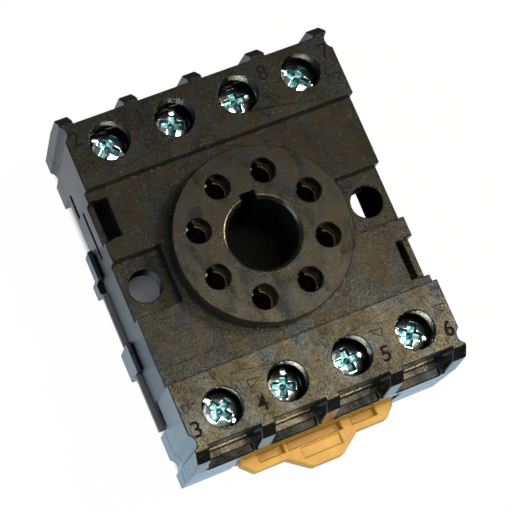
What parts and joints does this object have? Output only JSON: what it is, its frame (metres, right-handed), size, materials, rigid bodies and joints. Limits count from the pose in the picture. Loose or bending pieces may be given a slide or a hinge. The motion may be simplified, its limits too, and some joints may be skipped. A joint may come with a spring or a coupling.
{
  "type": "plug-in relay socket",
  "caption": "Low rectangular relay socket with a raised round boss, key bore and pin holes, two rows of shrouded screw terminals and a sliding rail hook below.",
  "frame": {"origin": "centre of the pin circle on the seating face of the boss, where the relay's base rests", "axes": "+Z out of the socket towards the relay, +Y towards the key notch, +X to the right, so -Y is the side of the sliding rail hook"},
  "size_m": [0.041, 0.0554, 0.0224],
  "materials": {
    "black_moulding": "fine moulded texture, half gloss",
    "orange_moulding": "moulded, half gloss",
    "contact_brass": "stamped sheet",
    "zinc_steel": "zinc plated, bright"
  },
  "bodies": {
    "socket": {"housing": "black_moulding", "base": "black_moulding", "contact_1": "contact_brass", "contact_2": "contact_brass", "contact_3": "contact_brass", "contact_4": "contact_brass", "contact_5": "contact_brass", "contact_6": "contact_brass", "contact_7": "contact_brass", "contact_8": "contact_brass"},
    "slider": {"rail_slider": "orange_moulding"},
    "clamp_1": {"washer_1": "zinc_steel"},
    "screw_body_1": {"screw_1": "zinc_steel"},
    "clamp_2": {"washer_2": "zinc_steel"},
    "screw_body_2": {"screw_2": "zinc_steel"},
    "clamp_3": {"washer_3": "zinc_steel"},
    "screw_body_3": {"screw_3": "zinc_steel"},
    "clamp_4": {"washer_4": "zinc_steel"},
    "screw_body_4": {"screw_4": "zinc_steel"},
    "clamp_5": {"washer_5": "zinc_steel"},
    "screw_body_5": {"screw_5": "zinc_steel"},
    "clamp_6": {"washer_6": "zinc_steel"},
    "screw_body_6": {"screw_6": "zinc_steel"},
    "clamp_7": {"washer_7": "zinc_steel"},
    "screw_body_7": {"screw_7": "zinc_steel"},
    "clamp_8": {"washer_8": "zinc_steel"},
    "screw_body_8": {"screw_8": "zinc_steel"}
  },
  "joints": [
    {"name": "rail_slide", "type": "slide", "parent": "socket", "child": "slider", "axis": [0, -1, 0], "range_m": [0, 0.0025]},
    {"name": "clamp_slide_1", "type": "slide", "parent": "socket", "child": "clamp_1", "axis": [0, 0, -1], "range_m": [-0.0009, 0.0013]},
    {"name": "screw_turn_1", "type": "hinge", "parent": "clamp_1", "child": "screw_body_1", "pos_m": [-0.00469, 0.0194, -0.0034], "axis": [0, 0, -1], "range_deg": [-541, 781]},
    {"name": "clamp_slide_2", "type": "slide", "parent": "socket", "child": "clamp_2", "axis": [0, 0, -1], "range_m": [-0.0009, 0.0013]},
    {"name": "screw_turn_2", "type": "hinge", "parent": "clamp_2", "child": "screw_body_2", "pos_m": [-0.01407, 0.0194, -0.0034], "axis": [0, 0, -1], "range_deg": [-541, 781]},
    {"name": "clamp_slide_3", "type": "slide", "parent": "socket", "child": "clamp_3", "axis": [0, 0, -1], "range_m": [-0.00005, 0.00215]},
    {"name": "screw_turn_3", "type": "hinge", "parent": "clamp_3", "child": "screw_body_3", "pos_m": [-0.01407, -0.0194, -0.0034], "axis": [0, 0, -1], "range_deg": [-31, 1291]},
    {"name": "clamp_slide_4", "type": "slide", "parent": "socket", "child": "clamp_4", "axis": [0, 0, -1], "range_m": [-0.0012, 0.001]},
    {"name": "screw_turn_4", "type": "hinge", "parent": "clamp_4", "child": "screw_body_4", "pos_m": [-0.00469, -0.0194, -0.0034], "axis": [0, 0, -1], "range_deg": [-721, 601]},
    {"name": "clamp_slide_5", "type": "slide", "parent": "socket", "child": "clamp_5", "axis": [0, 0, -1], "range_m": [-0.0007, 0.0015]},
    {"name": "screw_turn_5", "type": "hinge", "parent": "clamp_5", "child": "screw_body_5", "pos_m": [0.00469, -0.0194, -0.0034], "axis": [0, 0, -1], "range_deg": [-421, 901]},
    {"name": "clamp_slide_6", "type": "slide", "parent": "socket", "child": "clamp_6", "axis": [0, 0, -1], "range_m": [-0.0004, 0.0018]},
    {"name": "screw_turn_6", "type": "hinge", "parent": "clamp_6", "child": "screw_body_6", "pos_m": [0.01407, -0.0194, -0.0034], "axis": [0, 0, -1], "range_deg": [-241, 1081]},
    {"name": "clamp_slide_7", "type": "slide", "parent": "socket", "child": "clamp_7", "axis": [0, 0, -1], "range_m": [-0.0003, 0.0019]},
    {"name": "screw_turn_7", "type": "hinge", "parent": "clamp_7", "child": "screw_body_7", "pos_m": [0.01407, 0.0194, -0.0034], "axis": [0, 0, -1], "range_deg": [-181, 1141]},
    {"name": "clamp_slide_8", "type": "slide", "parent": "socket", "child": "clamp_8", "axis": [0, 0, -1], "range_m": [-0.0007, 0.0015]},
    {"name": "screw_turn_8", "type": "hinge", "parent": "clamp_8", "child": "screw_body_8", "pos_m": [0.00469, 0.0194, -0.0034], "axis": [0, 0, -1], "range_deg": [-421, 901]}
  ],
  "couplings": [
    {"joint": "screw_turn_1", "follows": "clamp_slide_1", "rad_per_m": 10472},
    {"joint": "screw_turn_2", "follows": "clamp_slide_2", "rad_per_m": 10472},
    {"joint": "screw_turn_3", "follows": "clamp_slide_3", "rad_per_m": 10472},
    {"joint": "screw_turn_4", "follows": "clamp_slide_4", "rad_per_m": 10472},
    {"joint": "screw_turn_5", "follows": "clamp_slide_5", "rad_per_m": 10472},
    {"joint": "screw_turn_6", "follows": "clamp_slide_6", "rad_per_m": 10472},
    {"joint": "screw_turn_7", "follows": "clamp_slide_7", "rad_per_m": 10472},
    {"joint": "screw_turn_8", "follows": "clamp_slide_8", "rad_per_m": 10472}
  ]
}
